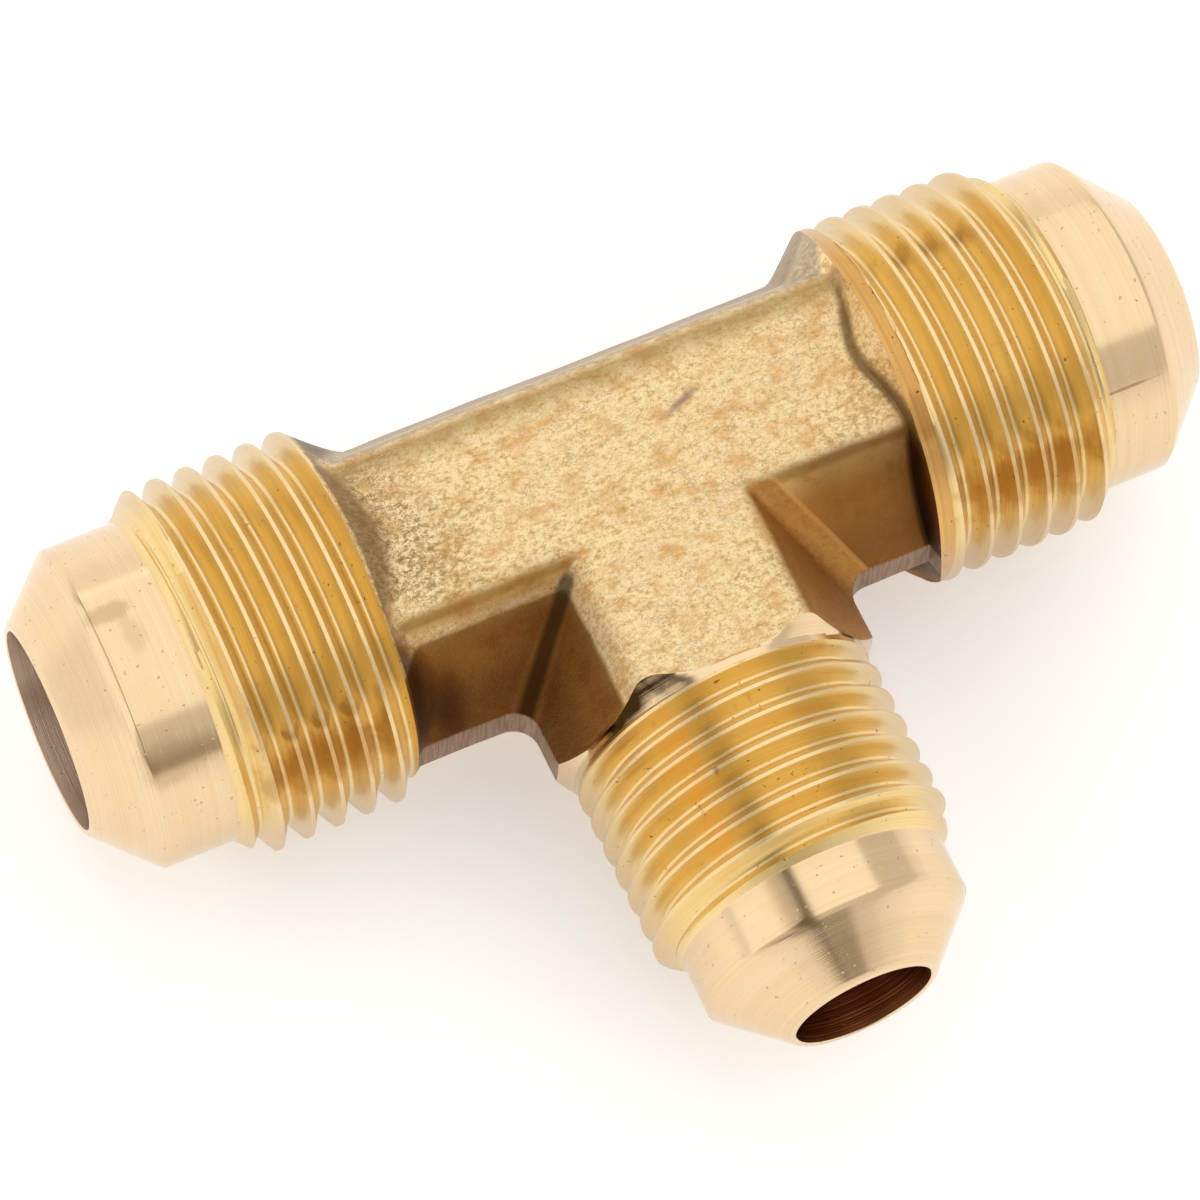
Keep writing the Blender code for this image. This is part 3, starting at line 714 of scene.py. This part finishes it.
finishes = {
    "forged_skin": forged_skin(),
    "turned_run": turned("turned_run", RIGHT_ARM, NOSE_PALE, NOSE_SATIN, 0.17, 0.14, stains_and_painted_light=(
        # The three olive patches on the left nose are painted shade.
        ((-26.3, 1.2, 8.2), (1.5, 0.7, 1.0), 0.45, NOSE_SHADE_OLIVE),
        ((-25.6, -0.2, 8.2), (0.8, 1.2, 1.0), 0.25, NOSE_SHADE_OLIVE),
        ((-25.6, -6.0, 5.6), (2.6, 1.6, 1.6), 0.3, NOSE_SHADE_OLIVE),
        # The thin brown line on the right nose is a painted dark reflection.
        ((24.3, -6.27, 5.39), (2.4, 0.1, 0.12), 0.5, STAIN_AND_DARK_REFLECTION),
    )),
    "turned_branch": turned("turned_branch", BRANCH_ARM, NOSE_PALE, NOSE_SATIN, 0.15, 0.12, stains_and_painted_light=(
        # The dark lens on the branch's shoulder is painted shade.
        ((-5.0, -12.1, 5.8), (3.4, 1.3, 3.2), 1.0, LENS_SHADE_DARK),
    )),
    "turned_band": turned("turned_band", RIGHT_ARM, BAND_GOLD, BAND_BROWN, 0.36, 0.8, 0.9, stains_and_painted_light=(
        ((13.8, -4.5, 8.2), (0.9, 2.2, 1.6), 0.4, STAIN_AND_DARK_REFLECTION),
    )),
    # The threads' deeper gold is painted for the light their flanks mirror into each other.
    "thread_run": turned("thread_run", RIGHT_ARM, THREAD_GOLD, THREAD_DEEP, 0.28, 0.3, 0.7,
                         thread_highlights(RIGHT_ARM, RUN_RADIUS, THREAD_DEPTH * RUN_PITCH), (
        # The two brown bands along the threads' fronts are painted dark reflections.
        ((-19.0, -7.05, 5.9), (4.2, 0.55, 0.55), 0.55, STAIN_AND_DARK_REFLECTION),
        ((18.5, -7.05, 5.9), (4.5, 0.6, 0.6), 0.3, STAIN_AND_DARK_REFLECTION),
        ((17.8, 3.6, 8.0), (3.6, 0.9, 0.9), 0.35, STAIN_AND_DARK_REFLECTION),
        # The low gold patches on the threads' fronts are painted shade.
        ((-19.0, -8.2, 3.9), (6.0, 1.6, 3.0), 0.7, LOW_SHADE_GOLD),
        ((18.5, -8.2, 3.9), (6.0, 1.6, 3.0), 0.7, LOW_SHADE_GOLD),
    )),
    "thread_branch": turned("thread_branch", BRANCH_ARM, THREAD_GOLD, THREAD_DEEP, 0.28, 0.3, 0.7,
                            thread_highlights(BRANCH_ARM, BRANCH_RADIUS, THREAD_DEPTH * BRANCH_PITCH), (
        ((-3.1, -17.5, 7.3), (0.25, 1.6, 0.5), 0.5, STAIN_AND_DARK_REFLECTION),
        ((-4.5, -17.0, 6.45), (1.6, 6.0, 1.6), 0.35, OLD_GOLD),
    )),
    "bore_run": turned("bore_run", RIGHT_ARM, BORE_PALE, BORE_SHADE, 0.35, 1.0),
    # The branch's bore is painted dark red-brown as painted shade inside it.
    "bore_branch": turned("bore_branch", BRANCH_ARM, SHADED_BORE_BROWN, SHADED_BORE_RED, 0.3, 1.0),
}
for name in names:
    mesh.materials.append(finishes[name])
tee = bpy.data.objects.new("tee_brass", mesh)
bpy.context.scene.collection.objects.link(tee)
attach(tee, "root")
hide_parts("tee_body")

# Bench and light
# The tee lies on a pale, seamless sweep, under one wide soft box with a second one on its left.
# The white room is dimmer and warmer in two gaps, at the front and between the boxes.
FLOOR_FLAT, FLOOR_REACH, FLOOR_LIP = 0.42, 1.3, 0.28
FLOOR_RINGS, FLOOR_SIDES, CENTRE_WELD = 24, 96, 1e-6
PAPER, PAPER_ROUGHNESS, PAPER_SPECULAR, PAPER_GLOW = (0.86, 0.86, 0.86, 1), 0.9, 0.1, 0.36
ROOM_LIGHT, FRONT_DIM, LEFT_DIM, BACK_GLOW = 0.75, 0.55, 0.8, 0.45
ROOM_WHITE, GAP_WARM = (1.0, 0.985, 0.96, 1), (1.0, 0.86, 0.62, 1)

# Parts of a direction into the room, where a gap starts and where it is full. The left gap's are slants.
FRONT_GAP_SIDE, FRONT_GAP_HEAD, FRONT_GAP_END = (-0.6, -0.85), (0.54, 0.26), (0.25, 0.15)
LEFT_GAP_END, LEFT_GAP_START = (-1.1, -0.55), (-0.3, -0.34)
GAP_FOOT, GLOW_START = (0.18, 0.22), (0.8, 0.87)


def sweep():
    """A flat disc whose rim rises in an eased curve: the height grows with the square of the way past the
    flat."""
    reach = np.concatenate([[0.0], np.linspace(FLOOR_FLAT, FLOOR_REACH, FLOOR_RINGS)])
    turn = np.linspace(0, 2 * np.pi, FLOOR_SIDES, endpoint=False)
    rise = low.z + FLOOR_LIP * np.clip((reach - FLOOR_FLAT) / (FLOOR_REACH - FLOOR_FLAT), 0, 1) ** 2
    points = np.stack([reach[:, None] * np.cos(turn), reach[:, None] * np.sin(turn),
                       np.broadcast_to(rise[:, None], (len(reach), FLOOR_SIDES))], axis=-1)
    index = np.arange(points.shape[0] * FLOOR_SIDES).reshape(-1, FLOOR_SIDES)
    beside = np.roll(index, -1, axis=1)
    quads = np.stack([index[:-1], index[1:], beside[1:], beside[:-1]], axis=-1).reshape(-1, 4)
    return points.reshape(-1, 3), quads


points, quads = sweep()
floor_mesh = bpy.data.meshes.new("floor")
floor_mesh.from_pydata(points.tolist(), [], quads.tolist())
clean = bmesh.new()
clean.from_mesh(floor_mesh)
bmesh.ops.remove_doubles(clean, verts=clean.verts, dist=CENTRE_WELD)
clean.to_mesh(floor_mesh)
clean.free()
floor_mesh.polygons.foreach_set("use_smooth", np.ones(len(floor_mesh.polygons), bool))
floor = bpy.data.objects.new("floor", floor_mesh)
bpy.context.scene.collection.objects.link(floor)
paper = bpy.data.materials.new("white_paper")
paper.use_nodes = True
shader = paper.node_tree.nodes["Principled BSDF"]
shader.inputs["Base Color"].default_value = PAPER
shader.inputs["Roughness"].default_value = PAPER_ROUGHNESS
shader.inputs["Specular IOR Level"].default_value = PAPER_SPECULAR
shader.inputs["Emission Color"].default_value = (1, 1, 1, 1)
shader.inputs["Emission Strength"].default_value = PAPER_GLOW
floor_mesh.materials.append(paper)


def soft_box(name, place, aim, width, length, brightness):
    """A rectangular soft box: its power is brightness times pi times its area."""
    data = bpy.data.lights.new(name, "AREA")
    data.shape, data.size, data.size_y = "RECTANGLE", width, length
    data.energy = brightness * math.pi * width * length
    box = bpy.data.objects.new(name, data)
    box.location = place
    box.rotation_euler = (Vector(aim) - Vector(place)).to_track_quat("-Z", "Y").to_euler()
    bpy.context.scene.collection.objects.link(box)


soft_box("top_box", place=(0.16, 0.3, 0.62), aim=(0.16, 0.3, 0), width=0.7, length=1.7, brightness=0.48)
soft_box("left_box", place=(-0.62, 0.1, 0.5), aim=(0, 0, 0.05), width=1.3, length=0.74, brightness=0.5)

world = bpy.data.worlds.new("studio")
bpy.context.scene.world = world
world.use_nodes = True
tree = world.node_tree
direction = node(tree, "ShaderNodeTexCoord", {}, output="Generated")
part = node(tree, "ShaderNodeSeparateXYZ", {"Vector": direction}).node.outputs
front_gap = times(tree, span(tree, part["Y"], *FRONT_GAP_SIDE), span(tree, part["Z"], *FRONT_GAP_HEAD))
front_gap = times(tree, front_gap, span(tree, part["X"], *FRONT_GAP_END))
slant = maths(tree, "DIVIDE", part["X"], maths(tree, "MAXIMUM", part["Z"], GAP_FOOT[0]))
left_gap = times(tree, span(tree, slant, *LEFT_GAP_END), span(tree, slant, *LEFT_GAP_START))
dim = maths(tree, "MAXIMUM", times(tree, front_gap, FRONT_DIM), times(tree, left_gap, LEFT_DIM))
dim = times(tree, dim, span(tree, part["Z"], *GAP_FOOT))
glow = times(tree, span(tree, part["Y"], *GLOW_START), BACK_GLOW)
strength = maths(tree, "ADD", maths(tree, "SUBTRACT", 1.0, dim), glow)
strength = times(tree, strength, ROOM_LIGHT)
background = tree.nodes["Background"]
tree.links.new(blend(tree, dim, ROOM_WHITE, GAP_WARM), background.inputs["Color"])
tree.links.new(strength, background.inputs["Strength"])
bpy.context.scene.view_settings.view_transform = "Standard"

# Camera
# A long lens looks down on the crossing from the left front, rolled a little clockwise.
ELEVATION, AZIMUTH, ROLL = math.radians(65.458), math.radians(-31.75), math.radians(7.642)
DISTANCE = 0.2899
AIM = Vector(CROSSING + np.array([-2.70, -4.29, 0]) * MM)
LENS, SENSOR_WIDTH, NEAREST = 177.38, 36, 0.01
flat = math.cos(ELEVATION)
back = Vector((math.sin(AZIMUTH) * flat, -math.cos(AZIMUTH) * flat, math.sin(ELEVATION)))
level = (-back).cross(Vector(UP)).normalized()
upright = level.cross(-back)
right = level * math.cos(ROLL) + upright * math.sin(ROLL)
up = upright * math.cos(ROLL) - level * math.sin(ROLL)
camera_data = bpy.data.cameras.new("camera")
camera_data.lens = LENS
camera_data.sensor_width = SENSOR_WIDTH
camera_data.clip_start = NEAREST
camera = bpy.data.objects.new("camera", camera_data)
turn = Matrix((right, up, back)).transposed().to_4x4()
camera.matrix_world = Matrix.Translation(AIM + back * DISTANCE) @ turn
bpy.context.scene.collection.objects.link(camera)
bpy.context.scene.camera = camera
